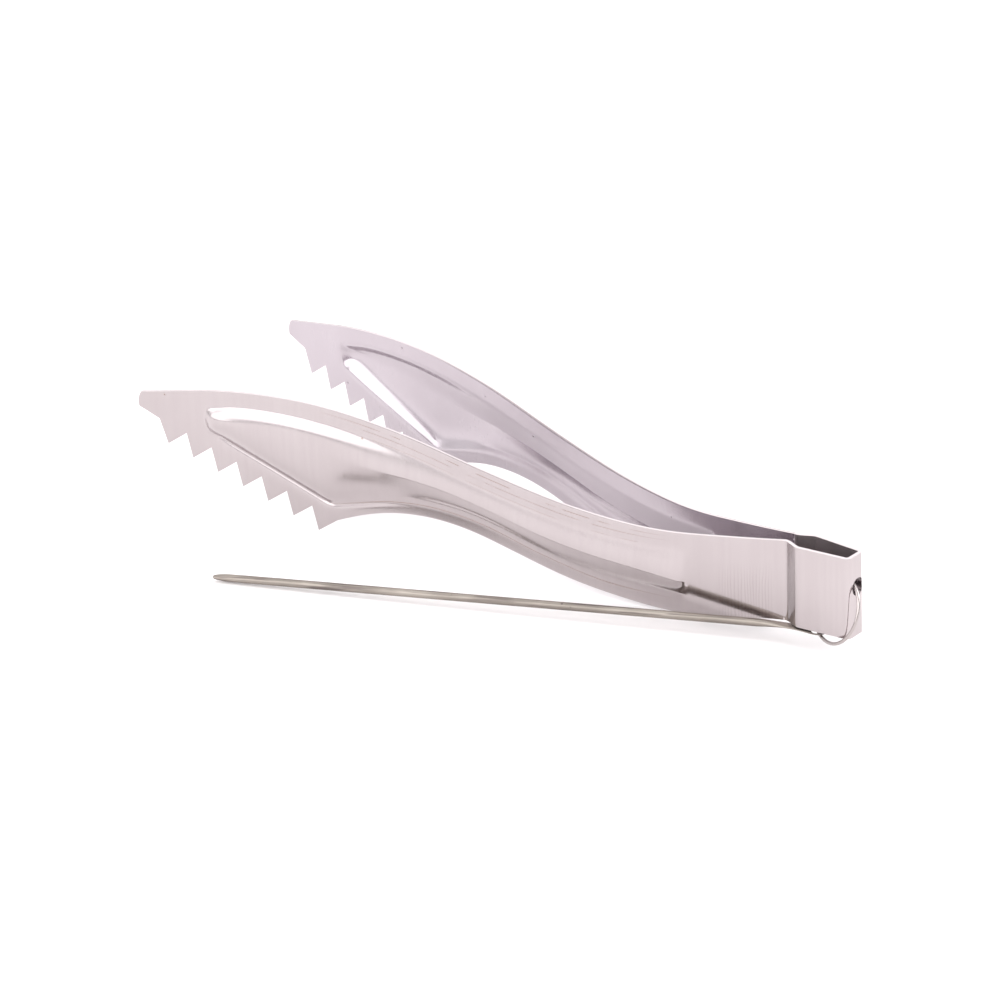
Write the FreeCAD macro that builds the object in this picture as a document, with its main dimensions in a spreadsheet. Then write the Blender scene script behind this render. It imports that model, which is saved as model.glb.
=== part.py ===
import FreeCAD, Part
import math
import os

# Spring tongs bent from one strip of stainless sheet, with a wire ring through the back plate
# and a straight pick hanging from the ring.
# Frame: +X out of the back plate, jaws towards -X, +Z up across the strip's width. The origin is
# on the outer face of the back plate, in the middle of the flat land above the ring hole.
# Heights below are measured from the lower edge of the bow, and each Placement brings them down
# by landHeight.

os.makedirs("parts", exist_ok=True)
doc = FreeCAD.newDocument("IceTongs")
Vec = FreeCAD.Vector

# ---------------------------------------------------------------- driving dimensions, mm and degrees
sizes = doc.addObject("Spreadsheet::Sheet", "Sizes")
dimensions = {
    "sheetThickness": 0.9,
    "bowHeight": 20.6,
    "landHeight": 17.0,
    "plateWidth": 6.3,
    "plateCornerRadius": 1.8,
    "bowWidth": 8.76,
    "bowLength": 14.09,
    "jogRadius": 2.2,
    "hingeDistance": 18.85,
    "neckGap": 3.7,
    "armAngle": 8.39,
    "bendGap": 0.1,
    "bossHeight": 1.7,
    "bossWall": 1.6,
    "bossWallInner": 0.4,
    "toothCount": 7,
    "holeRadius": 2.2,
    "holeOffset": 0.6,
    "holeHeight": 12.4,
    "ringRadius": 8.2,
    "ringWireRadius": 0.42,
    "eyePlace": -60.5,
    "pickRadius": 1.0,
    "pickTipRadius": 0.55,
    "pickTipLength": 3.2,
    "eyeRadius": 2.25,
    "eyeHoleRadius": 1.66,
    "eyeThickness": 0.5,
}
for row, (name, value) in enumerate(dimensions.items(), start=1):
    sizes.set("A%d" % row, name)
    sizes.set("B%d" % row, str(value))
    sizes.setAlias("B%d" % row, name)
doc.recompute()


def size(name):
    return float(sizes.get(name))


thickness = size("sheetThickness")
landHeight = size("landHeight")


# ---------------------------------------------------------------- helpers
def originPlane(body, role):
    for feature in body.Origin.OriginFeatures:
        if feature.Role == role:
            return feature


def addSketch(body, name, role, geometry, offset=0.0):
    sketch = body.newObject("Sketcher::SketchObject", name)
    sketch.AttachmentSupport = [(originPlane(body, role), "")]
    sketch.MapMode = "FlatFace"
    sketch.AttachmentOffset = FreeCAD.Placement(Vec(0, 0, offset), FreeCAD.Rotation())
    for curve in geometry:
        sketch.addGeometry(curve, False)
    return sketch


def line(start, end):
    return Part.LineSegment(Vec(start[0], start[1], 0), Vec(end[0], end[1], 0))


def arc(start, middle, end):
    points = [Vec(x, y, 0) for x, y in (start, middle, end)]
    return Part.Arc(*points)


def spline(points):
    curve = Part.BSplineCurve()
    curve.interpolate([Vec(x, y, 0) for x, y in points])
    return curve


def ribbon(points, radii, width):
    """Closed outline of a strip of the given width whose middle follows points with round bends."""
    sides = []
    for side in (0.5 * width, -0.5 * width):
        curves = []
        start = None
        for index, corner in enumerate(points):
            here = Vec(corner[0], corner[1], 0)
            if index == 0:
                ahead = Vec(*points[1], 0).sub(here).normalize()
                start = here.add(Vec(-ahead.y, ahead.x, 0) * side)
                continue
            behind = here.sub(Vec(*points[index - 1], 0)).normalize()
            behindNormal = Vec(-behind.y, behind.x, 0)
            if index == len(points) - 1:
                curves.append(Part.LineSegment(start, here.add(behindNormal * side)))
                continue
            ahead = Vec(*points[index + 1], 0).sub(here).normalize()
            turn = math.atan2(behind.cross(ahead).z, behind.dot(ahead))
            radius = radii[index - 1]
            tangent = radius * math.tan(abs(turn) / 2)
            arcStart = here.sub(behind * tangent)
            centre = arcStart.add(behindNormal * math.copysign(radius, turn))
            arcMiddle = centre.add(here.sub(centre).normalize() * radius)
            scale = (radius - side * math.copysign(1, turn)) / radius
            arcPoints = [centre.add(point.sub(centre) * scale)
                         for point in (arcStart, arcMiddle, here.add(ahead * tangent))]
            curves.append(Part.LineSegment(start, arcPoints[0]))
            curves.append(Part.Arc(*arcPoints))
            start = arcPoints[2]
        sides.append(curves)
    left, right = sides
    startCap = Part.LineSegment(left[0].StartPoint, right[0].StartPoint)
    endCap = Part.LineSegment(left[-1].EndPoint, right[-1].EndPoint)
    return left + right + [startCap, endCap]


def place(feature, x, y, z, rotation=FreeCAD.Rotation()):
    feature.Placement = FreeCAD.Placement(Vec(x, y, z - landHeight), rotation)


# ---------------------------------------------------------------- back bow
armAngle = math.radians(size("armAngle"))
hingeDistance = size("hingeDistance")
neckMiddle = 0.5 * (size("neckGap") + thickness)
plateMiddle = 0.5 * (size("plateWidth") - thickness)
sideMiddle = 0.5 * (size("bowWidth") - thickness)

bow = doc.addObject("PartDesign::Body", "BackBow")
bow.Label = "back_bow"
neckStart = size("bendGap")
neckRun = 0.95
halfLine = [
    (-hingeDistance + neckStart * math.cos(armAngle), neckMiddle - neckStart * math.sin(armAngle)),
    (-hingeDistance + neckRun * math.cos(armAngle), neckMiddle - neckRun * math.sin(armAngle)),
    (-size("bowLength"), sideMiddle),
    (-0.5 * thickness, plateMiddle),
]
middleLine = halfLine + [(x, -y) for x, y in reversed(halfLine)]
cornerRadius = size("plateCornerRadius") - 0.5 * thickness
jogRadius = size("jogRadius")
bends = [jogRadius, jogRadius, cornerRadius, cornerRadius, jogRadius, jogRadius]
bowSketch = addSketch(bow, "BowOutline", "XY_Plane", ribbon(middleLine, bends, thickness))
bowPad = bow.newObject("PartDesign::Pad", "BowPad")
bowPad.Profile = bowSketch
bowPad.setExpression("Length", "Sizes.bowHeight")
doc.recompute()

holeCircle = Part.Circle(Vec(size("holeOffset"), size("holeHeight"), 0), Vec(0, 0, 1), size("holeRadius"))
holeSketch = addSketch(bow, "RingHoleOutline", "YZ_Plane", [holeCircle])
holePocket = bow.newObject("PartDesign::Pocket", "RingHole")
holePocket.Profile = holeSketch
holePocket.Length = 2.4 * thickness
doc.recompute()
place(bow, 0, 0, 0)


# ---------------------------------------------------------------- arms
# Outlines in the plane of the sheet: x is minus the distance from the bend, y is the height.
topEdge = [(0, 20.6), (-15.3, 18.5), (-36.5, 16.5), (-56.8, 17.9), (-82, 22.9), (-107.3, 28.8),
           (-132.6, 31.7), (-157.9, 30.4), (-179.3, 26.5)]
tipTop = (-181.6, 25.4)
tipSide = (-182.9, 23.9)
tipBottom = (-182.7, 22.2)
notchStart = (-177.0, 19.6)
firstTooth = (-174.8, 13.1)
toothPitch = (7.37, -2.583)
toothBack = (5.85, 3.9)
bottomEdge = [(-123.1, 2.5), (-113.6, 5.6), (-100.9, 7.6), (-87, 6.6), (-74, 3.2), (-58.8, -0.9),
              (-43.6, -3.1), (-32.8, -3.9)]
neckBottom = (0, 0)

bossTop = [(-160.0, 25.6), (-155.3, 26.5), (-141.8, 27.5), (-126.7, 27.0), (-101.5, 23.2),
           (-86.5, 19.4), (-71.3, 15.9), (-56.3, 13.4), (-41.3, 12.4), (-27.0, 12.9)]
bossBottom = [(-27.0, -1.0), (-41.3, -0.8), (-56.3, 1.3), (-71.3, 5.0), (-86.5, 9.0),
              (-99.0, 10.5), (-111.5, 9.6), (-123.5, 6.6)]
bossHeelToNose = (-160.2, 18.3)
bossNose = (-162.4, 22.2)


def armOutline():
    curves = [spline(topEdge), line(topEdge[-1], tipTop), arc(tipTop, tipSide, tipBottom)]
    corners = [tipBottom, notchStart]
    for tooth in range(int(size("toothCount"))):
        x = firstTooth[0] + tooth * toothPitch[0]
        y = firstTooth[1] + tooth * toothPitch[1]
        corners.append((x, y))
        corners.append((x + toothBack[0], y + toothBack[1]))
    corners.pop()
    curves += [line(a, b) for a, b in zip(corners, corners[1:])]
    curves += [spline([corners[-1]] + bottomEdge), line(bottomEdge[-1], neckBottom)]
    return curves + [line(neckBottom, topEdge[0])]


def bossOutline(inset):
    top = [(x, y - inset) for x, y in bossTop]
    bottom = [(x, y + inset) for x, y in bossBottom]
    top[0] = (top[0][0] + 0.6 * inset, top[0][1])
    top[-1] = (top[-1][0] - inset, top[-1][1])
    bottom[0] = (bottom[0][0] - inset, bottom[0][1])
    nose = (bossNose[0] + inset, bossNose[1])
    chin = (bossHeelToNose[0] + 0.6 * inset, bossHeelToNose[1] + 0.8 * inset)
    return [spline(top), line(top[-1], bottom[0]), spline(bottom), line(bottom[-1], chin),
            arc(chin, nose, top[0])]


def makeArm(name, label, side):
    """side is -1 for the arm on -Y and +1 for the arm on +Y; the boss stands out on that side."""
    body = doc.addObject("PartDesign::Body", name)
    body.Label = label
    outline = addSketch(body, name + "Outline", "XZ_Plane", armOutline())
    pad = body.newObject("PartDesign::Pad", name + "Sheet")
    pad.Profile = outline
    pad.Reversed = side > 0
    pad.setExpression("Length", "Sizes.sheetThickness")
    doc.recompute()
    wall = size("bossWall")
    inner = size("bossWallInner")
    height = size("bossHeight")
    lofts = [
        ("Boss", "PartDesign::AdditiveLoft", ((0.0, thickness), (wall, thickness + height))),
        ("BossInside", "PartDesign::SubtractiveLoft", ((inner, 0.0), (inner + wall, height))),
    ]
    for loftName, kind, sections in lofts:
        sketches = [
            addSketch(body, "%s%s%d" % (name, loftName, index), "XZ_Plane", bossOutline(inset), -side * depth)
            for index, (inset, depth) in enumerate(sections)
        ]
        loft = body.newObject(kind, name + loftName)
        loft.Profile = sketches[0]
        loft.Sections = [sketches[1]]
        loft.Ruled = True
        doc.recompute()
    rotation = FreeCAD.Rotation(Vec(0, 0, 1), -side * size("armAngle"))
    bendMiddle = Vec(-hingeDistance, side * neckMiddle, 0)
    innerFace = bendMiddle.sub(rotation.multVec(Vec(0, 0.5 * side * thickness, 0)))
    place(body, innerFace.x, innerFace.y, 0, rotation)
    return body


leftArm = makeArm("LeftArm", "left_arm", -1)
rightArm = makeArm("RightArm", "right_arm", 1)

# ---------------------------------------------------------------- ring
# The ring leans through the hole and under the lower edge of the bow, clear of both walls.
ringCentre = Vec(-4.634, -1.559, 6.217)
ringNormal = Vec(0.343, 0.87, -0.354).normalize()
ringForward = Vec(-ringNormal.y, ringNormal.x, 0).normalize()
ringUp = ringNormal.cross(ringForward)
ring = doc.addObject("Part::Torus", "HangingRing")
ring.Label = "hanging_ring"
ring.setExpression("Radius1", "Sizes.ringRadius")
ring.setExpression("Radius2", "Sizes.ringWireRadius")
place(ring, *ringCentre, FreeCAD.Rotation(Vec(0, 0, 1), ringNormal))

# ---------------------------------------------------------------- pick
# The shank runs along +x from its shoulder. Behind the shoulder it is beaten flat in the x-y plane
# and ends in an eye round the ring.
eyeAngle = math.radians(size("eyePlace"))
eyeRay = ringForward * math.cos(eyeAngle) + ringUp * math.sin(eyeAngle)
eyeCentre = ringCentre + eyeRay * size("ringRadius")
pickShoulder = Vec(-21.8, -5.05, -0.75)
pickTip = Vec(-153.6, -55.2, -3.75)
along = pickTip.sub(pickShoulder)
yaw = math.degrees(math.atan2(along.y, along.x))
pitch = math.degrees(math.asin(-along.z / along.Length))
pickRotation = FreeCAD.Rotation(yaw, pitch, 0)
eye = pickRotation.inverted().multVec(eyeCentre.sub(pickShoulder))

pick = doc.addObject("PartDesign::Body", "Pick")
pick.Label = "pick"
radius = size("pickRadius")
length = along.Length
shankCorners = [
    (0, 0), (0, 0.8 * radius), (0.6, radius), (length - size("pickTipLength"), radius),
    (length, size("pickTipRadius")), (length, 0), (0, 0),
]
shankSketch = addSketch(pick, "ShankProfile", "XZ_Plane",
                        [line(a, b) for a, b in zip(shankCorners, shankCorners[1:])])
shank = pick.newObject("PartDesign::Revolution", "Shank")
shank.Profile = shankSketch
shank.ReferenceAxis = (shankSketch, ["H_Axis"])
shank.Angle = 360
doc.recompute()

eyeRadius = size("eyeRadius")
rootX = 1.5
rootHalf = 0.75 * radius
waistX = 0.45 * eye.x
waistHalf = 1.3 * radius
waistY = 0.25 * eye.y
cheekAngle = math.radians(60)
cheekX = eye.x + eyeRadius * math.cos(cheekAngle)
cheekHalf = eyeRadius * math.sin(cheekAngle)
flatOutline = [
    arc((cheekX, eye.y + cheekHalf), (eye.x - eyeRadius, eye.y), (cheekX, eye.y - cheekHalf)),
    spline([(cheekX, eye.y - cheekHalf), (waistX, waistY - waistHalf), (rootX, -rootHalf)]),
    line((rootX, -rootHalf), (rootX, rootHalf)),
    spline([(rootX, rootHalf), (waistX, waistY + waistHalf), (cheekX, eye.y + cheekHalf)]),
]
flatSketch = addSketch(pick, "EyeOutline", "XY_Plane", flatOutline, -0.5 * size("eyeThickness"))
flat = pick.newObject("PartDesign::Pad", "EyeFlat")
flat.Profile = flatSketch
flat.setExpression("Length", "Sizes.eyeThickness")
doc.recompute()
eyeCircle = Part.Circle(Vec(eye.x, eye.y, 0), Vec(0, 0, 1), size("eyeHoleRadius"))
eyeSketch = addSketch(pick, "EyeHoleOutline", "XY_Plane", [eyeCircle], eyeRadius)
eyeHole = pick.newObject("PartDesign::Pocket", "EyeHole")
eyeHole.Profile = eyeSketch
eyeHole.Length = 2 * eyeRadius
doc.recompute()
place(pick, *pickShoulder, pickRotation)
print("eye centre", eyeCentre.sub(Vec(0, 0, landHeight)), "eye in the pick", eye)

# ---------------------------------------------------------------- checks and export
doc.recompute()
for feature in doc.Objects:
    if "Invalid" in feature.State or "Error" in feature.State:
        raise RuntimeError("failed feature: " + feature.Name)
for part in (bow, leftArm, rightArm, ring, pick):
    shape = part.Shape
    if shape.isNull() or not shape.isValid() or len(shape.Solids) != 1:
        raise RuntimeError("bad shape: " + part.Label)
    shape.exportStep("parts/%s.step" % part.Label)
    print(part.Label, "volume %.1f" % shape.Volume, shape.BoundBox)
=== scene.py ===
import math
import bmesh
import bpy
import numpy as np
from mathutils import Matrix, Quaternion, Vector


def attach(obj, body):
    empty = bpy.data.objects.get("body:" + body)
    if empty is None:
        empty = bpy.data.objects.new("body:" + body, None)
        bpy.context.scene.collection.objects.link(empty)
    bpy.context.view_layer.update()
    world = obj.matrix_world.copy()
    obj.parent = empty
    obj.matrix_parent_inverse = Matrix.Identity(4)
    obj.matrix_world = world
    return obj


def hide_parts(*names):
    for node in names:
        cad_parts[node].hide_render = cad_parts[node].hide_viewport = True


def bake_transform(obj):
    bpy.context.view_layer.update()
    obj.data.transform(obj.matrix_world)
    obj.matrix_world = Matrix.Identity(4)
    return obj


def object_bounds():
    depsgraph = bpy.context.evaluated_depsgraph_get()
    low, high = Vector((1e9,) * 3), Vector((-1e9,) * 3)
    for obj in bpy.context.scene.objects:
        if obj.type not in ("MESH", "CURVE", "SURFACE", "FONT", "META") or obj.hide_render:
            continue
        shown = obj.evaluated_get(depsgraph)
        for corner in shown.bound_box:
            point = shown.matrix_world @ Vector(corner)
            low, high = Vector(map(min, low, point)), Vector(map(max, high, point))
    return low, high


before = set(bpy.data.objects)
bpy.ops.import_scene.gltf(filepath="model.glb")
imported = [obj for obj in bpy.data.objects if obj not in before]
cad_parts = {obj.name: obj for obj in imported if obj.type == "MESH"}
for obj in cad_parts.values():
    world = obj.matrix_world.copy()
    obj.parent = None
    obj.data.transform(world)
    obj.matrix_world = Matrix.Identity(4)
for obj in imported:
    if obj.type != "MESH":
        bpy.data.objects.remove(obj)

# Spring tongs of one bent steel strip, with a wire ring and a loose pick.
# +X points out of the back plate, the jaws point to -X, and +Z is up across the strip.
# Lengths are in mm and angles in degrees, unless a note says otherwise.
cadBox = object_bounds()
scene = bpy.context.scene
mm = 0.001
print("frame:", sorted(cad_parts))

# camera
cameraSet = {
    "place": (532.2, -769.4, 436.7),
    "azimuth": 39.707,
    "elevation": 24.017,
    "lean": -2.389,           # about the line of sight
    "lens": 159.3,
}


def makeCamera(values):
    data = bpy.data.cameras.new("camera")
    data.lens = values["lens"]
    data.clip_start = 0.01
    camera = bpy.data.objects.new("camera", data)
    scene.collection.objects.link(camera)
    turn = math.radians(values["azimuth"])
    rise = math.radians(values["elevation"])
    ahead = Vector((-math.sin(turn) * math.cos(rise), math.cos(turn) * math.cos(rise), -math.sin(rise)))
    level = ahead.to_track_quat("-Z", "Y")
    camera.rotation_mode = "QUATERNION"
    camera.rotation_quaternion = level @ Quaternion((0, 0, 1), math.radians(values["lean"]))
    camera.location = Vector(values["place"]) * mm
    scene.camera = camera


makeCamera(cameraSet)

# floor, sky and lamps, in metres
studioSet = {
    "floorDrop": 0.0003,      # under the lowest point of the object
    "floorSize": 9.0,
    "floorColour": (0.90, 0.88, 0.883),
    "floorRough": 0.9,
    "floorShine": 0.1,
    "world": (1.0, 0.99, 1.0),
    "worldPower": 1.06,
    "lamps": [                # name, place, aim, width, height, watts, colour
        ("overhead", (-0.2, 0.3, 1.7), (-0.1, 0, 0), 1.2, 1.2, 7, (1, 0.99, 0.985)),
        ("front", (-0.75, -1.5, 1.05), (-0.1, 0, 0.25), 2.8, 1.8, 26, (1, 1, 1)),
        ("frontRight", (0.5, -0.65, 0.6), (-0.02, -0.03, 0), 0.6, 0.6, 2.4, (1, 1, 1)),
        ("backLeft", (-1.3, 1.5, 0.93), (-0.1, 0, 0.1), 1.7, 1.1, 7, (1, 0.99, 1)),
        ("backRight", (0.75, 0.9, 0.7), (0.05, 0.05, 0), 0.8, 0.8, 11, (0.99, 0.99, 1)),
    ],
}


def makeLamp(name, place, aim, width, height, watts, colour):
    data = bpy.data.lights.new(name, "AREA")
    data.shape = "RECTANGLE"
    data.size = width
    data.size_y = height
    data.energy = watts
    data.color = colour
    lamp = bpy.data.objects.new(name, data)
    scene.collection.objects.link(lamp)
    lamp.location = place
    lamp.rotation_mode = "QUATERNION"
    lamp.rotation_quaternion = (Vector(aim) - Vector(place)).to_track_quat("-Z", "Y")


def makeFloor(values):
    half = values["floorSize"] / 2
    level = cadBox[0].z - values["floorDrop"]
    mesh = bpy.data.meshes.new("floor")
    corners = [(-half, -half, level), (half, -half, level), (half, half, level), (-half, half, level)]
    mesh.from_pydata(corners, [], [(0, 1, 2, 3)])
    floor = bpy.data.objects.new("floor", mesh)
    scene.collection.objects.link(floor)
    paint = bpy.data.materials.new("floorPaint")
    paint.use_nodes = True
    shader = paint.node_tree.nodes["Principled BSDF"]
    shader.inputs["Base Color"].default_value = (*values["floorColour"], 1)
    shader.inputs["Roughness"].default_value = values["floorRough"]
    shader.inputs["Specular IOR Level"].default_value = values["floorShine"]
    mesh.materials.append(paint)


def makeStudio(values):
    world = bpy.data.worlds.new("studio")
    world.use_nodes = True
    sky = world.node_tree.nodes["Background"]
    sky.inputs["Color"].default_value = (*values["world"], 1)
    sky.inputs["Strength"].default_value = values["worldPower"]
    scene.world = world
    makeFloor(values)
    for lamp in values["lamps"]:
        makeLamp(*lamp)
    scene.view_settings.view_transform = "Standard"


makeStudio(studioSet)
print("studio ready")


# small node helpers for the steel
def addNode(nodes, kind, **values):
    node = nodes.new(kind)
    for key, value in values.items():
        setattr(node, key, value)
    return node


def setInputs(node, **values):
    for key, value in values.items():
        node.inputs[key].default_value = value


def remap(nodes, links, source, fromRange, toRange):
    ranger = nodes.new("ShaderNodeMapRange")
    for key, value in zip(("From Min", "From Max", "To Min", "To Max"), (*fromRange, *toRange)):
        ranger.inputs[key].default_value = value
    links.new(source, ranger.inputs["Value"])
    return ranger.outputs["Result"]


def combine(nodes, links, operation, first, second):
    step = addNode(nodes, "ShaderNodeMath", operation=operation)
    for index, value in enumerate((first, second)):
        if isinstance(value, (int, float)):
            step.inputs[index].default_value = value
        else:
            links.new(value, step.inputs[index])
    return step.outputs["Value"]


def mixColour(nodes, links, share, first, second):
    mix = addNode(nodes, "ShaderNodeMix", data_type="RGBA")
    links.new(share, mix.inputs["Factor"])
    for index, value in ((6, first), (7, second)):      # the two colour sockets
        if isinstance(value, tuple):
            mix.inputs[index].default_value = (*value, 1)
        else:
            links.new(value, mix.inputs[index])
    return mix.outputs[2]


def splitAxes(nodes, links, source):
    split = nodes.new("ShaderNodeSeparateXYZ")
    links.new(source, split.inputs["Vector"])
    return split.outputs["X"], split.outputs["Y"]


def stretched(nodes, links, source, stretch):
    mapping = nodes.new("ShaderNodeMapping")
    mapping.inputs["Scale"].default_value = stretch
    links.new(source, mapping.inputs["Vector"])
    return mapping.outputs["Vector"]


# noise drawn out along one direction, as polishing leaves it
def stretchedNoise(nodes, links, source, stretch, scale, detail):
    noise = nodes.new("ShaderNodeTexNoise")
    setInputs(noise, Scale=scale, Detail=detail)
    links.new(stretched(nodes, links, source, stretch), noise.inputs["Vector"])
    return noise.outputs["Fac"]


# round specks, shown in only a share of the cells
def specks(nodes, links, source, scale, radius, share):
    cells = nodes.new("ShaderNodeTexVoronoi")
    setInputs(cells, Scale=scale, Randomness=1.0)
    links.new(source, cells.inputs["Vector"])
    near = remap(nodes, links, cells.outputs["Distance"], (radius * 0.5, radius), (1, 0))
    tone = nodes.new("ShaderNodeSeparateColor")
    links.new(cells.outputs["Color"], tone.inputs["Color"])
    picked = combine(nodes, links, "GREATER_THAN", tone.outputs["Red"], 1 - share)
    return combine(nodes, links, "MULTIPLY", near, picked)


# broken scratch lines along the strip: the UV map runs along in X and across in Y
lineSet = {
    "core": 0.4,              # share of the width that is fully dark
    "across": 9.0,            # how fast the breaks change across the strip
    "soft": 0.04,
    "starts": (0.14, 0.22),
    "ends": (0.56, 0.66),
}


def dashedLine(nodes, links, uv, at, width, dash, share):
    along, across = splitAxes(nodes, links, uv)
    offset = combine(nodes, links, "ABSOLUTE", combine(nodes, links, "SUBTRACT", across, at), 0)
    near = remap(nodes, links, offset, (width * lineSet["core"], width), (1, 0))
    broken = stretchedNoise(nodes, links, uv, (dash, lineSet["across"], 1), 1.0, 2.0)
    gap, soft = 1 - share, lineSet["soft"]
    shown = remap(nodes, links, broken, (gap - soft, gap + soft), (0, 1))
    starts = remap(nodes, links, along, lineSet["starts"], (0, 1))
    ends = remap(nodes, links, along, lineSet["ends"], (1, 0))
    line = combine(nodes, links, "MULTIPLY", near, shown)
    return combine(nodes, links, "MULTIPLY", line, combine(nodes, links, "MULTIPLY", starts, ends))


# fine upright scratches that wander, on a patch between two distances along the strip
waveSet = {
    "scale": 0.38,
    "stretch": (1000, 300, 300),
    "distortion": 6.0,
    "detail": 2.0,
    "detailScale": 0.6,
    "fadeIn": 0.01,
    "fadeOut": 0.02,
    "heights": (0.25, 0.5),
    "peaks": (0.55, 0.95),
    "share": 0.42,
}


def wavyPatch(nodes, links, place, uv, start, end):
    waves = addNode(nodes, "ShaderNodeTexWave", wave_type="BANDS", bands_direction="X")
    setInputs(waves, Scale=waveSet["scale"], Distortion=waveSet["distortion"], Detail=waveSet["detail"])
    waves.inputs["Detail Scale"].default_value = waveSet["detailScale"]
    links.new(stretched(nodes, links, place, waveSet["stretch"]), waves.inputs["Vector"])
    along, across = splitAxes(nodes, links, uv)
    rising = remap(nodes, links, along, (start, start + waveSet["fadeIn"]), (0, 1))
    falling = remap(nodes, links, along, (end, end + waveSet["fadeOut"]), (1, 0))
    low = remap(nodes, links, across, waveSet["heights"], (0, 1))
    patch = combine(nodes, links, "MULTIPLY", combine(nodes, links, "MULTIPLY", rising, falling), low)
    peaks = remap(nodes, links, waves.outputs["Fac"], waveSet["peaks"], (0, 1))
    scratches = combine(nodes, links, "MULTIPLY", patch, peaks)
    return combine(nodes, links, "MULTIPLY", scratches, waveSet["share"])


# what all the steels share
steelSet = {
    "cloudScale": 38, "cloudDetail": 3,
    "grainScale": 60, "grainDetail": 5, "grainRange": (0.35, 0.65), "grainHeight": 0.6,
    "fineScale": 110, "fineDetail": 3, "fineStretch": 3, "fineRough": (-0.03, 0.05),
    "noiseRange": (0.3, 0.7),
    "markRough": 0.2,         # added where there is a speck or a line
    # the streaks of painted shade
    "streakShadeRange": (0.50, 0.62), "streakShadeDetail": 6, "streakShadeShare": 0.7,
    "wornRange": (0.2, 0.6),  # where along the strip the roughness rises toward the jaw
    "bumpDepth": 0.04,
}


def makeSteel(name, values):
    material = bpy.data.materials.new(name)
    material.use_nodes = True
    nodes, links = material.node_tree.nodes, material.node_tree.links
    shader = nodes["Principled BSDF"]
    shader.inputs["Metallic"].default_value = 1.0
    coordinates = nodes.new("ShaderNodeTexCoord")
    place, uv = coordinates.outputs["Object"], coordinates.outputs["UV"]
    usual = steelSet["noiseRange"]

    # clouds, then grain
    cloud = stretchedNoise(nodes, links, place, (1, 1, 1), steelSet["cloudScale"], steelSet["cloudDetail"])
    grain = stretchedNoise(
        nodes, links, place, values["grain"], steelSet["grainScale"], steelSet["grainDetail"])
    fineStretch = tuple(steelSet["fineStretch"] * x for x in values["grain"])
    fine = stretchedNoise(nodes, links, place, fineStretch, steelSet["fineScale"], steelSet["fineDetail"])
    clouds = remap(nodes, links, cloud, usual, (0, 1))
    colour = mixColour(nodes, links, clouds, values["dark"], values["light"])
    tint = remap(nodes, links, grain, steelSet["grainRange"], (0, values["grainShare"]))
    colour = mixColour(nodes, links, tint, colour, values["grainColour"])

    # painted shade streaks, scratches, specks and lines
    marks = specks(nodes, links, place, values["speckScale"], values["speckRadius"], values["speckShare"])
    for line in values["lines"]:
        marks = combine(nodes, links, "MAXIMUM", marks, dashedLine(nodes, links, uv, *line))
    # dark patches of painted shade, leaving lighter streaks between them (only the pick has them)
    if values["streaks"]:
        streakShade = stretchedNoise(nodes, links, uv, (*values["streaks"], 1), 1.0, steelSet["streakShadeDetail"])
        streakShade = remap(nodes, links, streakShade, steelSet["streakShadeRange"], (0, steelSet["streakShadeShare"]))
        colour = mixColour(nodes, links, streakShade, colour, values["markColour"])
    if values["waves"]:
        scratches = wavyPatch(nodes, links, place, uv, *values["waves"])
        colour = mixColour(nodes, links, scratches, colour, values["waveColour"])
    strength = combine(nodes, links, "MULTIPLY", marks, values["markShare"])
    colour = mixColour(nodes, links, strength, colour, values["markColour"])
    links.new(colour, shader.inputs["Base Color"])

    # roughness
    rough = remap(nodes, links, cloud, usual, values["rough"])
    rough = combine(nodes, links, "ADD", rough, remap(nodes, links, fine, usual, steelSet["fineRough"]))
    markRough = combine(nodes, links, "MULTIPLY", marks, steelSet["markRough"])
    rough = combine(nodes, links, "ADD", rough, markRough)
    if values["jawRough"]:
        along = splitAxes(nodes, links, uv)[0]
        worn = remap(nodes, links, along, steelSet["wornRange"], (0, values["jawRough"]))
        rough = combine(nodes, links, "ADD", rough, worn)
    links.new(rough, shader.inputs["Roughness"])

    # fine relief
    height = combine(nodes, links, "MULTIPLY", grain, steelSet["grainHeight"])
    height = combine(nodes, links, "ADD", height, fine)
    height = combine(nodes, links, "SUBTRACT", height, marks)
    bump = nodes.new("ShaderNodeBump")
    setInputs(bump, Strength=values["bump"], Distance=steelSet["bumpDepth"] * mm)
    links.new(height, bump.inputs["Height"])
    links.new(bump.outputs["Normal"], shader.inputs["Normal"])
    return material


# one finish for each surface. A line is its place across the strip, width, breaks and share shown.
polishedFinish = {
    "light": (0.48, 0.435, 0.44), "dark": (0.445, 0.40, 0.405),
    "grain": (14, 14, 0.5), "grainShare": 0.25, "grainColour": (0.41, 0.365, 0.37),
    "speckScale": 240, "speckRadius": 0.10, "speckShare": 0.05,
    "markColour": (0.28, 0.20, 0.16), "markShare": 0.6,
    "lines": [(0.029, 0.0034, 30, 0.50), (0.062, 0.0030, 22, 0.56),
              (0.152, 0.0055, 26, 0.5), (0.857, 0.009, 16, 0.62)],
    "streaks": None,
    "waves": (0.012, 0.075), "waveColour": (0.34, 0.295, 0.295),
    "rough": (0.10, 0.16), "jawRough": 0.06, "bump": 0.03,
}
# inner side of the sheet: its violet tint and lighter tone are a painted reflection of the purple-grey
# surroundings it faces
innerPaintedTintFinish = {
    "light": (0.49, 0.445, 0.475), "dark": (0.45, 0.405, 0.435),
    "grain": (14, 14, 0.5), "grainShare": 0.04, "grainColour": (0.40, 0.36, 0.39),
    "speckScale": 170, "speckRadius": 0.085, "speckShare": 0.42,
    "markColour": (0.18, 0.15, 0.17), "markShare": 0.6,
    "lines": [], "streaks": None, "waves": None,
    "rough": (0.14, 0.20), "jawRough": 0.05, "bump": 0.012,
}
bowFinish = dict(polishedFinish, lines=[], waves=None, jawRough=0, speckShare=0.04)
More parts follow.
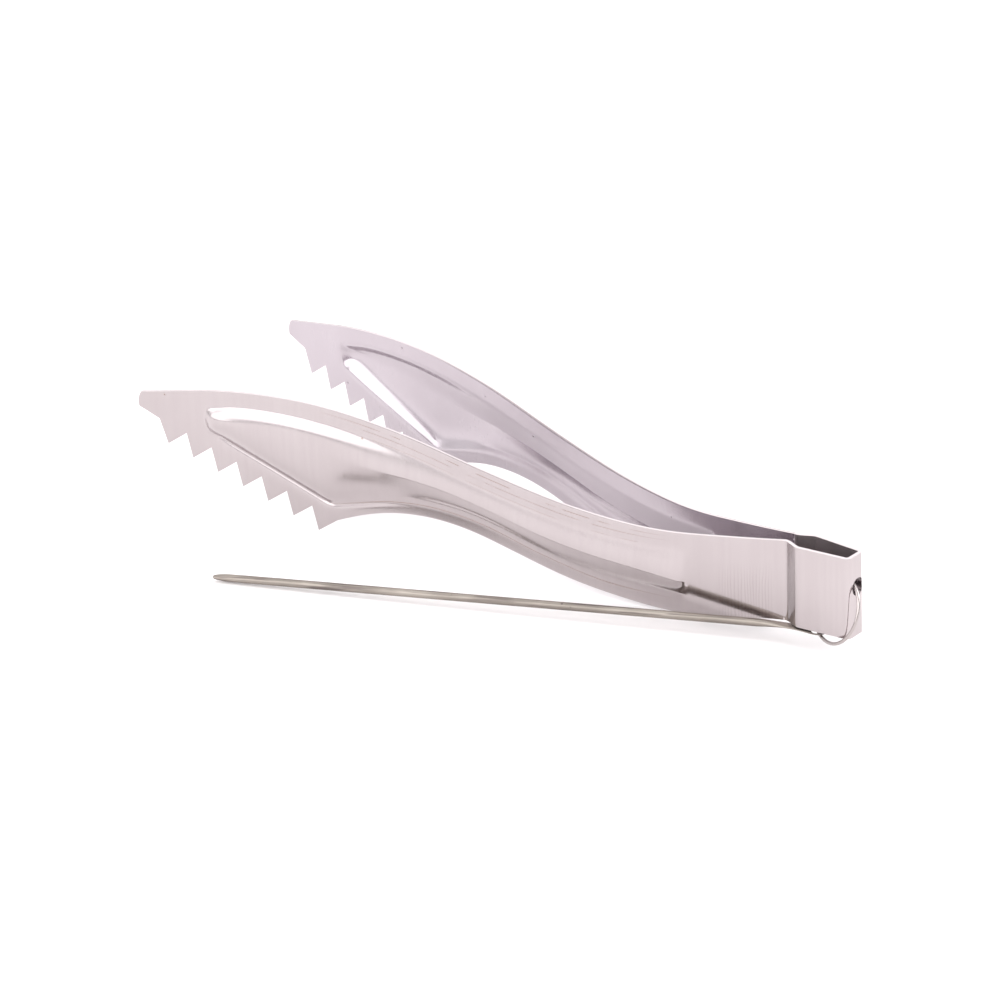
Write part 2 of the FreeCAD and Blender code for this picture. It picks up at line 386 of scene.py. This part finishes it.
# inside of the bow: rougher, unpolished steel, its darker colour being painted shade of the box's hollow
bowInsidePaintedShadeFinish = dict(
    innerPaintedTintFinish, light=(0.46, 0.41, 0.42), dark=(0.38, 0.34, 0.345), speckShare=0.1,
    rough=(0.36, 0.44), jawRough=0)
ringFinish = dict(
    bowFinish, light=(0.43, 0.39, 0.385), dark=(0.36, 0.32, 0.31), grain=(1, 1, 1), rough=(0.14, 0.22))
# pick: the wire's own darker tone, darkened further as painted shade of its back side, with dark streak
# patches of painted shade leaving lighter streaks
pickToneAndShadeFinish = {
    "light": (0.41, 0.37, 0.33), "dark": (0.30, 0.265, 0.235),
    "grain": (1, 1, 1), "grainShare": 0.45, "grainColour": (0.10, 0.085, 0.075),
    "speckScale": 420, "speckRadius": 0.16, "speckShare": 0.12,
    "markColour": (0.10, 0.08, 0.08), "markShare": 0.7,
    "lines": [], "streaks": (8, 7), "waves": None,
    "rough": (0.3, 0.45), "jawRough": 0, "bump": 0.35,
}
outerSteel = makeSteel("polishedSteel", polishedFinish)
innerPaintedTintSteel = makeSteel("innerPaintedTintSteel", innerPaintedTintFinish)
bowSteel = makeSteel("bowSteel", bowFinish)
bowInsidePaintedShade = makeSteel("bowInsidePaintedShade", bowInsidePaintedShadeFinish)
ringSteel = makeSteel("ringWire", ringFinish)
pickToneAndShadeSteel = makeSteel("pickWire", pickToneAndShadeFinish)
print("steel ready")


# modelling helpers
def addObject(name, mesh, materials):
    piece = bpy.data.objects.new(name, mesh)
    scene.collection.objects.link(piece)
    for material in materials:
        mesh.materials.append(material)
    for face in mesh.polygons:
        face.use_smooth = True
    return piece


def addStep(piece, kind, **values):
    step = piece.modifiers.new(kind.title(), kind)
    for key, value in values.items():
        setattr(step, key, value)


# a small round on every edge sharper than 50 degrees
def roundEdges(piece, radius, **values):
    addStep(piece, "BEVEL", width=radius * mm, segments=2, limit_method="ANGLE",
            angle_limit=math.radians(50), **values)


# a cylinder that bores its hole when the stack is applied
def addDrill(piece, place, radius, length, sides, turn=(0, 0, 0)):
    bpy.ops.mesh.primitive_cylinder_add(
        vertices=sides, radius=radius * mm, depth=length * mm, location=Vector(place) * mm, rotation=turn)
    drill = bpy.context.object
    addStep(piece, "BOOLEAN", object=drill, operation="DIFFERENCE", solver="EXACT")
    return drill


# apply the whole stack
def settle(piece):
    graph = bpy.context.evaluated_depsgraph_get()
    finished = bpy.data.meshes.new_from_object(piece.evaluated_get(graph))
    piece.modifiers.clear()
    piece.data = finished


# turn all the faces outwards
def outward(piece):
    cage = bmesh.new()
    cage.from_mesh(piece.data)
    bmesh.ops.recalc_face_normals(cage, faces=cage.faces)
    cage.to_mesh(piece.data)
    cage.free()


# cut off what lies on the normal's side and close the cut, with a crisp edge round it
def cutAndCap(piece, point, normal):
    cage = bmesh.new()
    cage.from_mesh(piece.data)
    everything = cage.verts[:] + cage.edges[:] + cage.faces[:]
    cut = bmesh.ops.bisect_plane(cage, geom=everything, plane_co=point, plane_no=normal, clear_outer=True)
    rim = [item for item in cut["geom_cut"] if isinstance(item, bmesh.types.BMEdge)]
    cap = bmesh.ops.holes_fill(cage, edges=rim, sides=0)["faces"]
    for face in cap:
        face.smooth = False
    for edge in rim:
        edge.smooth = False
    cage.to_mesh(piece.data)
    cage.free()


def clamp(t):
    return min(1.0, max(0.0, t))


def easeIn(t):
    t = clamp(t)
    return t * t * (3 - 2 * t)


# a smooth line through a few points, as a function of its first value, straight beyond its ends
def smoothCurve(points):
    xs = np.array([p[0] for p in points], float)
    ys = np.array([p[1] for p in points], float)
    slopes = np.gradient(ys, xs)

    def at(x):
        i = int(np.clip(np.searchsorted(xs, x) - 1, 0, len(xs) - 2))
        span = xs[i + 1] - xs[i]
        t = (x - xs[i]) / span
        if t <= 0:
            return float(ys[i] + slopes[i] * (x - xs[i]))
        if t >= 1:
            return float(ys[i + 1] + slopes[i + 1] * (x - xs[i + 1]))
        start, end = (2 * t**3 - 3 * t**2 + 1) * ys[i], (3 * t**2 - 2 * t**3) * ys[i + 1]
        leave, arrive = (t**3 - 2 * t**2 + t) * span * slopes[i], (t**3 - t**2) * span * slopes[i + 1]
        return float(start + leave + end + arrive)
    return at


# The strip. s is the distance from the neck, h the height above the bow's lower edge,
# and depth how far the sheet is pressed outwards.
stripSet = {
    "thickness": 0.9,
    "edgeRound": 0.16,
    "neck": (-18.85, 2.30),   # where an arm leaves the bow, X and the distance from the middle
    "armAngle": 8.39,
    "landHeight": 17.0,       # of the origin over the bow's lower edge
}


def neckOf(side):
    angle = math.radians(stripSet["armAngle"])
    neckX, neckY = stripSet["neck"]
    along = Vector((-math.cos(angle), side * math.sin(angle), 0))
    return Vector((neckX, side * neckY, 0)) * mm, along


# Arms. Each list of pairs is a line along the strip, as (s, h), and wallWidth is (s, width).
armSet = {
    "topEdge": [(-2, 20.9), (0, 20.6), (15.3, 18.5), (36.5, 16.5), (56.8, 17.9), (82, 22.9), (107.3, 28.8),
                (132.6, 31.7), (157.9, 30.4), (179.3, 26.5)],
    "bottomEdge": [(-2, 0.2), (0, 0), (32.8, -3.9), (43.6, -3.1), (58.8, -0.9), (74, 3.2), (87, 6.6),
                   (100.9, 7.6), (113.6, 5.6), (124.73, 1.55)],
    "bossTop": [(24, 12.9), (27, 12.9), (41.3, 12.4), (56.3, 13.4), (71.3, 15.9), (86.5, 19.4),
                (101.5, 23.2), (126.7, 27.0), (141.8, 27.5), (155.3, 26.5), (160, 25.6)],
    "crease": [(24, 4.4), (27, 4.7), (37.8, 5.7), (52.7, 7.0), (60.6, 8.2), (68.5, 9.8), (76.5, 12.1),
               (85, 14.2), (92, 15.8), (99, 16.9), (106, 17.6), (112, 18.1), (119, 18.6), (126, 19.2),
               (145, 21.2), (160, 22.4)],
    "wall": [(24, 3.5), (38, 4.4), (53, 5.5), (62, 6.8), (70, 8.9), (77, 11.0), (85.5, 13.0), (92.6, 14.2),
             (99.7, 15.0), (107, 15.2), (114, 14.4), (121, 12.4), (127, 11.4), (131, 12.4), (160, 22.2)],
    "ledge": [(24, 2.6), (38, 3.0), (53, 4.2), (62, 5.6), (70, 8.0), (77, 10.0), (85.5, 12.0), (92.6, 12.8),
              (99.7, 13.2), (107, 12.7), (114, 11.4), (121, 9.7), (127, 8.5), (131, 9.8), (160, 20.7)],
    "ridge": [(24, 1.2), (38.6, 1.5), (53.5, 2.3), (62.8, 4.4), (67.3, 5.6), (77.2, 9.0), (85.8, 11.1),
              (92.8, 11.9), (97.6, 12.1), (106, 11.7), (114.5, 10.0), (121, 8.0), (127, 6.9), (131, 8.3),
              (160, 19.3)],
    "foot": [(24, -0.6), (38.8, -0.5), (48.5, 0.0), (56.4, 1.5), (64.4, 3.4), (72.3, 5.4), (77.5, 7.3),
             (88.4, 9.6), (94.3, 10.3), (100.3, 10.4), (106.8, 9.8), (114.8, 8.2), (121, 6.6), (127, 5.5),
             (131, 7.1), (160, 18.1)],
    "wallWidth": [(24, 4.5), (56, 5.0), (80, 6.4), (100, 5.2), (118, 3.4), (160, 2.8)],   # upper side
    "leastFlat": 1.5,         # least width left between the upper side and the crease
    "jawLip": 0.12,           # how far the boss's first row stands over its top in the jaw
    "jawUpper": (0.16, 0.5),  # rows down the upper side, as shares of its width
    "jawShoulder": (1.0, 0.7),        # last row over the crease: its distance, and most share of the way
    # the boss's eleven rows, from its top to its foot: places on the handle, then share of the rise
    "handleRows": [-0.02, 0.10, 0.28, 0.50, 0.72, 0.92, 1.0],
    "handleDepths": [0, 0.10, 0.37, 0.67, 0.88, 0.98, 1.0, 0.58, 0.37, 0.42, 0],
    "jawDepths": [0, 0.22, 0.68, 0.90, 0.98, 1.0, 0.99, 0.88, 0.56, 0.20, -0.30],
    "handleRise": 1.15,
    "handleSlope": 0.155,     # most rise for each mm of the boss's height
    "jawRise": 2.0,
    "jawBlend": (90, 50),     # where the handle's section turns into the jaw's, and over what length
    "lowerBlend": (100, 14),  # the same for the rows under the crease
    "panelEnd": 24.0,         # the flat panel behind the boss
    "ramp": (26.2, 1.9),      # start and length of the step up to the boss
    "handleStations": [-2, 0, 2, 6, 12, 18, 23, 25.4, 26.2, 27.2, 28.1, 30.5, 36, 42, 49, 56, 63, 70, 77, 84,
                       91, 98, 105, 111, 117, 121.5],
    "handleMargins": (1.0, 0.8),      # flat sheet kept over and under the boss
    "jawStations": [124.2, 127.0, 131.0, 134.6, 138.4, 142.2, 145.8, 149.4, 152.8, 156.2],
    "jawMargins": (1.1, 0.5),
    "nose": [(160.0, 25.7), (161.4, 24.6), (162.2, 23.4), (162.4, 22.2), (162.2, 20.6), (161.5, 19.2),
             (160.2, 18.2)],
    "noseMiddle": (157.0, 22.0),
    "noseRings": [(0.60, 1.0), (1.12, 0.0), (1.32, 0.0)],     # size and share of the depth
    "noseShift": 0.3,
    "teeth": 7,
    "rootStart": (168.95, 17.0),
    "tipStart": (174.8, 13.1),
    "toothStep": (7.37, 2.583),
    "frontEnds": [((172.6, 27.9), (172.9, 18.4)), ((177.0, 27.0), (177.0, 19.6)),
                  ((180.0, 26.5), (180.6, 21.1)), ((182.2, 26.1), (183.0, 22.0))],
    "frontBulge": 0.5,
    "smooth": 3,
}
rowCount = 15                 # rows across the strip, from its top edge to its bottom edge
bossRows = slice(2, 13)       # the eleven that carry the boss
creaseRow = 8
ridgeRow = 11
# how sharp the folds and corners of the sheet stay when it is smoothed
foldSet = {
    "crease": 0.8, "creaseFades": (121, 8),   # full up to 8 mm before 121 mm
    "ridge": 0.35, "ridgeEnds": (26, 112),
    "ramp": 0.6, "rampRows": range(4, 9),
    "heel": 0.7, "heelRows": (11, 12),
    "front": 0.7,
}


# the eleven rows of the boss at one distance along the strip
def bossSection(values, curves, s, share=1.0):
    top, crease, wall, ledge, ridge, foot = (
        curves[name](s) for name in ("bossTop", "crease", "wall", "ledge", "ridge", "foot"))
    width = min(curves["wallWidth"](s), top - crease - values["leastFlat"])
    upper = top - width
    jaw = easeIn((s - values["jawBlend"][0]) / values["jawBlend"][1])
    lower = easeIn((s - values["lowerBlend"][0]) / values["lowerBlend"][1])
    first, second = values["jawUpper"]
    gap, near = values["jawShoulder"]
    jawHeights = [top + values["jawLip"], top - first * width, top - second * width, upper,
                  0.5 * (upper + crease + gap), min(crease + gap, (1 - near) * upper + near * crease), crease]
    handleHeights = [top + (crease - top) * part for part in values["handleRows"]]
    heights = [a * (1 - jaw) + b * jaw for a, b in zip(handleHeights, jawHeights)]
    heights += [wall, ledge, ridge, foot]
    handleRise = min(values["handleRise"], values["handleSlope"] * (top - crease))
    rise = (handleRise * (1 - jaw) + values["jawRise"] * jaw) * share
    overCrease = len(handleHeights) - 1
    parts = [jaw] * overCrease + [lower] * (len(heights) - overCrease)
    rows = zip(heights, values["handleDepths"], values["jawDepths"], parts)
    return [(s, h, (a * (1 - part) + b * part) * rise) for h, a, b, part in rows]


def handleColumns(values, curves):
    columns = []
    over, under = values["handleMargins"]
    rampStart, rampLength = values["ramp"]
    for s in values["handleStations"]:
        boss = bossSection(values, curves, max(s, values["panelEnd"]), clamp((s - rampStart) / rampLength))
        top, bottom = curves["topEdge"](s), curves["bottomEdge"](s)
        heights = [top, boss[0][1] + over] + [row[1] for row in boss] + [boss[-1][1] - under, bottom]
        depths = [0, 0] + [row[2] for row in boss] + [0, 0]
        spread = clamp(s / values["panelEnd"])     # on the flat panel the rows open out evenly
        column = []
        for row, (h, depth) in enumerate(zip(heights, depths)):
            even = top + (bottom - top) * row / (rowCount - 1)
            column.append((s, h * spread + even * (1 - spread), depth))
        columns.append(column)
    return columns


# the edge vertices stand on the tooth roots and half way between them
def jawColumns(values, curves):
    columns = []
    rootX, rootY = values["rootStart"]
    stepX, stepY = values["toothStep"]
    gaps = values["teeth"] - 1
    for index in range(2 * gaps + 1):
        s = rootX - gaps * stepX + 0.5 * index * stepX
        base = rootY - gaps * stepY + 0.5 * index * stepY
        columns.append([(s, curves["topEdge"](s), 0)] + [None] * (rowCount - 2) + [(s, base, 0)])
    over, under = values["jawMargins"]
    for column, s in zip(columns, values["jawStations"]):
        column[1] = (s, curves["bossTop"](s) + over, 0)
        column[bossRows] = bossSection(values, curves, s)
        column[-2] = (s, curves["foot"](s) - under, 0)
    noseColumns(values, curves, columns[len(values["jawStations"]):])
    return columns


# the boss's rows gather round its nose and run out into the flat sheet
def noseColumns(values, curves, columns):
    middleX, middleY = values["noseMiddle"]
    boss = bossSection(values, curves, middleX)
    along = np.linspace(0, len(values["nose"]) - 1, len(boss))
    numbers = range(len(values["nose"]))
    noseX = np.interp(along, numbers, [p[0] for p in values["nose"]])
    noseY = np.interp(along, numbers, [p[1] for p in values["nose"]])
    over, under = values["handleMargins"]
    shift = values["noseShift"]
    for column, (grow, share) in zip(columns, values["noseRings"]):
        ring = []
        for row in range(len(boss)):
            x = middleX + (noseX[row] - middleX) * grow
            y = middleY + (noseY[row] - middleY) * max(1.0, grow)
            ring.append((x, y, boss[row][2] * share))
        column[bossRows] = ring
        column[1] = (ring[0][0] + shift, ring[0][1] + over, 0)
        column[-2] = (ring[-1][0] + shift, ring[-1][1] - under, 0)


def frontColumns(values):
    columns = []
    for top, bottom in values["frontEnds"]:
        last = (top, bottom) == values["frontEnds"][-1]
        column = []
        for row in range(rowCount):
            t = row / (rowCount - 1)
            bulge = (values["frontBulge"] if last else 0.0) * 4 * t * (1 - t)
            column.append((top[0] + (bottom[0] - top[0]) * t + bulge, top[1] + (bottom[1] - top[1]) * t, 0))
        columns.append(column)
    return columns


def armCage(values):
    names = ("topEdge", "bottomEdge", "bossTop", "crease", "wall", "ledge", "ridge", "foot", "wallWidth")
    curves = {name: smoothCurve(values[name]) for name in names}
    stations = values["handleStations"]
    columns = handleColumns(values, curves) + jawColumns(values, curves) + frontColumns(values)
    verts = [point for column in columns for point in column]
    faces = []
    for c in range(len(columns) - 1):
        for row in range(rowCount - 1):
            a = c * rowCount + row
            faces.append((a, a + 1, a + rowCount + 1, a + rowCount))

    # one vertex at each tooth tip, with its two roots kept sharp
    corners = {0: 1.0, rowCount - 1: 1.0}
    firstJaw = len(stations)
    tipX, tipY = values["tipStart"]
    stepX, stepY = values["toothStep"]
    for tooth in range(values["teeth"]):
        verts.append((tipX - tooth * stepX, tipY - tooth * stepY, 0))
        number = len(verts) - 1
        right = (firstJaw + 2 * (values["teeth"] - 1 - tooth)) * rowCount + rowCount - 1
        between = right + rowCount
        left = between + rowCount
        faces.append((right, number, left, between))
        for index in (number, right, left):
            corners[index] = 1.0
    lastColumn = (len(columns) - 1) * rowCount
    corners[lastColumn] = foldSet["front"]
    corners[lastColumn + rowCount - 1] = foldSet["front"]
    for row in foldSet["heelRows"]:
        corners[(firstJaw + 1) * rowCount + row] = foldSet["heel"]

    # the crease is sharp at the neck and dies out in the jaw
    folds = []
    rampStart = values["ramp"][0]
    fadeEnd, fadeLength = foldSet["creaseFades"]
    ridgeStart, ridgeEnd = foldSet["ridgeEnds"]
    for c, s in enumerate(stations[:-1]):
        start = c * rowCount
        fade = clamp((fadeEnd - s) / fadeLength) if s >= rampStart else 0.0
        ridge = foldSet["ridge"] if ridgeStart < s < ridgeEnd else 0.0
        folds.append((start + creaseRow, start + rowCount + creaseRow, foldSet["crease"] * fade))
        folds.append((start + ridgeRow, start + rowCount + ridgeRow, ridge))
    ramp = stations.index(rampStart) * rowCount
    folds += [(ramp + row, ramp + row + 1, foldSet["ramp"]) for row in foldSet["rampRows"]]
    return verts, faces, corners, folds


# from the strip's own measures to the shared frame
def toFrame(point, side):
    s, h, depth = point
    angle = math.radians(stripSet["armAngle"])
    neckX, neckY = stripSet["neck"]
    out = depth + 0.5 * stripSet["thickness"]
    x = neckX - s * math.cos(angle) + out * math.sin(angle)
    y = neckY + s * math.sin(angle) + out * math.cos(angle)
    return Vector((x, side * y, h - stripSet["landHeight"])) * mm


uvLength = 200                # mm of strip to one unit of the UV map
tipRow = 1.08                 # where the tooth tips lie across it


def makeArm(name, node, side):
    verts, faces, corners, folds = armCage(armSet)
    if side < 0:
        faces = [tuple(reversed(face)) for face in faces]
    mesh = bpy.data.meshes.new(name)
    mesh.from_pydata([toFrame(point, side) for point in verts], [], faces)
    uvs = mesh.uv_layers.new(name="rows")
    for loop in mesh.loops:
        index = loop.vertex_index
        across = (index % rowCount) / (rowCount - 1) if index < len(verts) - armSet["teeth"] else tipRow
        uvs.data[loop.index].uv = (verts[index][0] / uvLength, across)
    # the inner side takes the steel with the painted violet reflection tint
    piece = addObject(name, mesh, [outerSteel, innerPaintedTintSteel])
    pointCrease = mesh.attributes.new("crease_vert", "FLOAT", "POINT")
    for index, value in corners.items():
        pointCrease.data[index].value = value
    edgeOf = {tuple(sorted(edge.vertices)): edge.index for edge in mesh.edges}
    edgeCrease = mesh.attributes.new("crease_edge", "FLOAT", "EDGE")
    for a, b, value in folds:
        edgeCrease.data[edgeOf[(a, b)]].value = value
    addStep(piece, "SUBSURF", levels=armSet["smooth"], render_levels=armSet["smooth"])
    addStep(piece, "SOLIDIFY", thickness=stripSet["thickness"] * mm, offset=-1, use_quality_normals=True,
            material_offset=1, material_offset_rim=0)
    roundEdges(piece, stripSet["edgeRound"])
    settle(piece)
    hinge, along = neckOf(side)
    cutAndCap(piece, hinge, -along)
    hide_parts(node)
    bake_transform(piece)
    print(name, len(piece.data.polygons), "faces")


makeArm("leftArm", "left_arm", -1)
makeArm("rightArm", "right_arm", 1)

# Back bow: a folded strip, whose bends, wall, ring hole and edges are each a step of the stack.
bowSet = {
    "line": [(-20.04, 2.475), (-17.91, 2.161), (-14.09, 3.93), (-0.45, 2.70)],   # mid sheet, +Y half
    "bends": [2.2, 2.2, 0.95],
    "bendSteps": 8,
    "height": 20.6,
    "hole": (0.6, 12.4, 2.2),         # sideways, up, radius
    "holeSides": 64,
    "drillLength": 6,
    "uvLift": 0.83,                   # of the lower edge in the UV map
}


def makeBow(name, node):
    line = bowSet["line"] + [(x, -y) for x, y in reversed(bowSet["line"])]
    bends = bowSet["bends"] + bowSet["bends"][::-1]
    count = len(line)
    base = -stripSet["landHeight"]
    verts = [Vector((x, y, base + up)) * mm for up in (0, bowSet["height"]) for x, y in line]
    faces = [(i + 1, i, i + count, i + 1 + count) for i in range(count - 1)]
    mesh = bpy.data.meshes.new(name)
    mesh.from_pydata(verts, [], faces)
    uvs = mesh.uv_layers.new(name="rows")
    for loop in mesh.loops:
        up = verts[loop.vertex_index].z / (bowSet["height"] * mm) + bowSet["uvLift"]
        uvs.data[loop.index].uv = (loop.vertex_index % count / count, up)
    tangents = []
    for i, radius in enumerate(bends, start=1):
        before = (Vector(line[i]) - Vector(line[i - 1])).normalized()
        after = (Vector(line[i + 1]) - Vector(line[i])).normalized()
        tangents.append(radius * math.tan(before.angle(after) / 2))
    weights = mesh.attributes.new("bevel_weight_edge", "FLOAT", "EDGE")
    for edge in mesh.edges:
        a, b = sorted(edge.vertices)
        if b - a == count and 0 < a < count - 1:
            weights.data[edge.index].value = tangents[a - 1] / max(tangents)
    # the inside of the bow takes the steel darkened with painted shade
    piece = addObject(name, mesh, [bowSteel, bowInsidePaintedShade])
    addStep(piece, "BEVEL", width=max(tangents) * mm, segments=bowSet["bendSteps"], limit_method="WEIGHT",
            use_clamp_overlap=False)
    addStep(piece, "SOLIDIFY", thickness=stripSet["thickness"] * mm, offset=0, use_even_offset=True,
            material_offset=1, material_offset_rim=0)
    sideways, up, radius = bowSet["hole"]
    drill = addDrill(piece, (0, sideways, base + up), radius, bowSet["drillLength"], bowSet["holeSides"],
                     turn=(0, math.pi / 2, 0))
    roundEdges(piece, stripSet["edgeRound"], harden_normals=True)
    settle(piece)
    bpy.data.objects.remove(drill)
    for side in (-1, 1):
        hinge, along = neckOf(side)
        cutAndCap(piece, hinge, along)
    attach(piece, "bow")
    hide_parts(node)
    print(name, len(piece.data.polygons), "faces")


makeBow("backBow", "back_bow")

# Ring: round wire spun about its own axis, then set in the plate's hole.
ringSet = {
    "radius": 8.2,
    "wire": 0.42,             # radius of the wire
    "centre": (-4.634, -1.559, -10.783),
    "axis": (0.343, 0.87, -0.354),
    "steps": 96,
    "sides": 14,
}


def makeRing(name, node):
    sides, wire = ringSet["sides"], ringSet["wire"]
    verts = []
    for i in range(sides):
        turn = 2 * math.pi * i / sides
        verts.append(Vector((ringSet["radius"] + wire * math.cos(turn), 0, wire * math.sin(turn))) * mm)
    mesh = bpy.data.meshes.new(name)
    mesh.from_pydata(verts, [(i, (i + 1) % sides) for i in range(sides)], [])
    piece = addObject(name, mesh, [ringSteel])
    addStep(piece, "SCREW", angle=2 * math.pi, steps=ringSet["steps"], render_steps=ringSet["steps"],
            axis="Z", use_merge_vertices=True, merge_threshold=0.00001, use_smooth_shade=True)
    settle(piece)
    turn = Vector((0, 0, 1)).rotation_difference(Vector(ringSet["axis"]).normalized())
    piece.data.transform(Matrix.Translation(Vector(ringSet["centre"]) * mm) @ turn.to_matrix().to_4x4())
    outward(piece)
    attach(piece, "ring")
    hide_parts(node)
    print(name, len(piece.data.polygons), "faces")


makeRing("hangingRing", "hanging_ring")

# Pick: a drawn wire, tapered at the tip and beaten flat round its eye.
pickSet = {
    "shoulder": (-21.8, -5.05, -17.75),
    "tip": (-153.6, -55.2, -20.75),
    "eye": (-12.60, 1.99, 1.66),      # along, across, radius
    "eyeSides": 48,
    "drillLength": 4,
    "edgeRound": 0.08,
    "sides": 12,
    "smooth": 2,
    # along the wire from the shoulder, sideways shift, half width, half thickness
    "rings": [(-14.75, 2.1, 0.7, 0.16), (-14.35, 2.05, 1.5, 0.22), (-13.2, 2.0, 2.2, 0.25),
              (-12.0, 1.9, 2.25, 0.25), (-10.6, 1.7, 1.9, 0.25), (-8.8, 1.3, 1.6, 0.27),
              (-6.6, 0.7, 1.45, 0.30), (-4.2, 0.3, 1.35, 0.40), (-2.0, 0.1, 1.2, 0.60),
              (0.2, 0.0, 1.05, 0.85), (2.4, 0, 1.0, 1.0), (6, 0, 1, 1), (30, 0, 1, 1), (70, 0, 1, 1),
              (110, 0, 1, 1), (136, 0, 1, 1), (138.6, 0, 0.96, 0.92), (140.6, 0, 0.72, 0.5),
              (141.0, 0, 0.55, 0.34)],
    "uvLength": 160,
}


def makePick(name, node):
    sides = pickSet["sides"]
    swell = 6 / (4 + 2 * math.cos(2 * math.pi / sides))     # the smoothing pulls a ring in by this much
    verts, faces = [], []
    for along, shift, wide, thick in pickSet["rings"]:
        for i in range(sides):
            turn = 2 * math.pi * i / sides
            across = shift + wide * swell * math.cos(turn)
            verts.append(Vector((along, across, thick * swell * math.sin(turn))) * mm)
    count = len(pickSet["rings"])
    for ring in range(count - 1):
        for i in range(sides):
            a, b = ring * sides + i, ring * sides + (i + 1) % sides
            faces.append((a, b, b + sides, a + sides))
    faces.append(tuple(range(sides)))
    faces.append(tuple(reversed(range((count - 1) * sides, count * sides))))
    mesh = bpy.data.meshes.new(name)
    mesh.from_pydata(verts, [], faces)
    uvs = mesh.uv_layers.new(name="rows")
    for face in mesh.polygons:
        seam = any(mesh.loops[c].vertex_index % sides == sides - 1 for c in face.loop_indices)
        for corner in face.loop_indices:
            index = mesh.loops[corner].vertex_index
            around = index % sides
            if around == 0 and seam:
                around = sides
            uvs.data[corner].uv = (verts[index].x / (pickSet["uvLength"] * mm), around / sides)
    # the pick's steel carries its own darker tone plus painted shade
    piece = addObject(name, mesh, [pickToneAndShadeSteel])
    outward(piece)
    addStep(piece, "SUBSURF", levels=pickSet["smooth"], render_levels=pickSet["smooth"])
    along, across, radius = pickSet["eye"]
    drill = addDrill(piece, (along, across, 0), radius, pickSet["drillLength"], pickSet["eyeSides"])
    roundEdges(piece, pickSet["edgeRound"])
    settle(piece)
    bpy.data.objects.remove(drill)
    shoulder, tip = Vector(pickSet["shoulder"]), Vector(pickSet["tip"])
    way = (tip - shoulder).normalized()
    level = Vector((0, 0, 1)).cross(way).normalized()
    turn = Matrix((way, level, way.cross(level))).transposed().to_4x4()
    piece.data.transform(Matrix.Translation(shoulder * mm) @ turn)
    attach(piece, "pick")
    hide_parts(node)
    print(name, len(piece.data.polygons), "faces")


makePick("loosePick", "pick")

print("done")
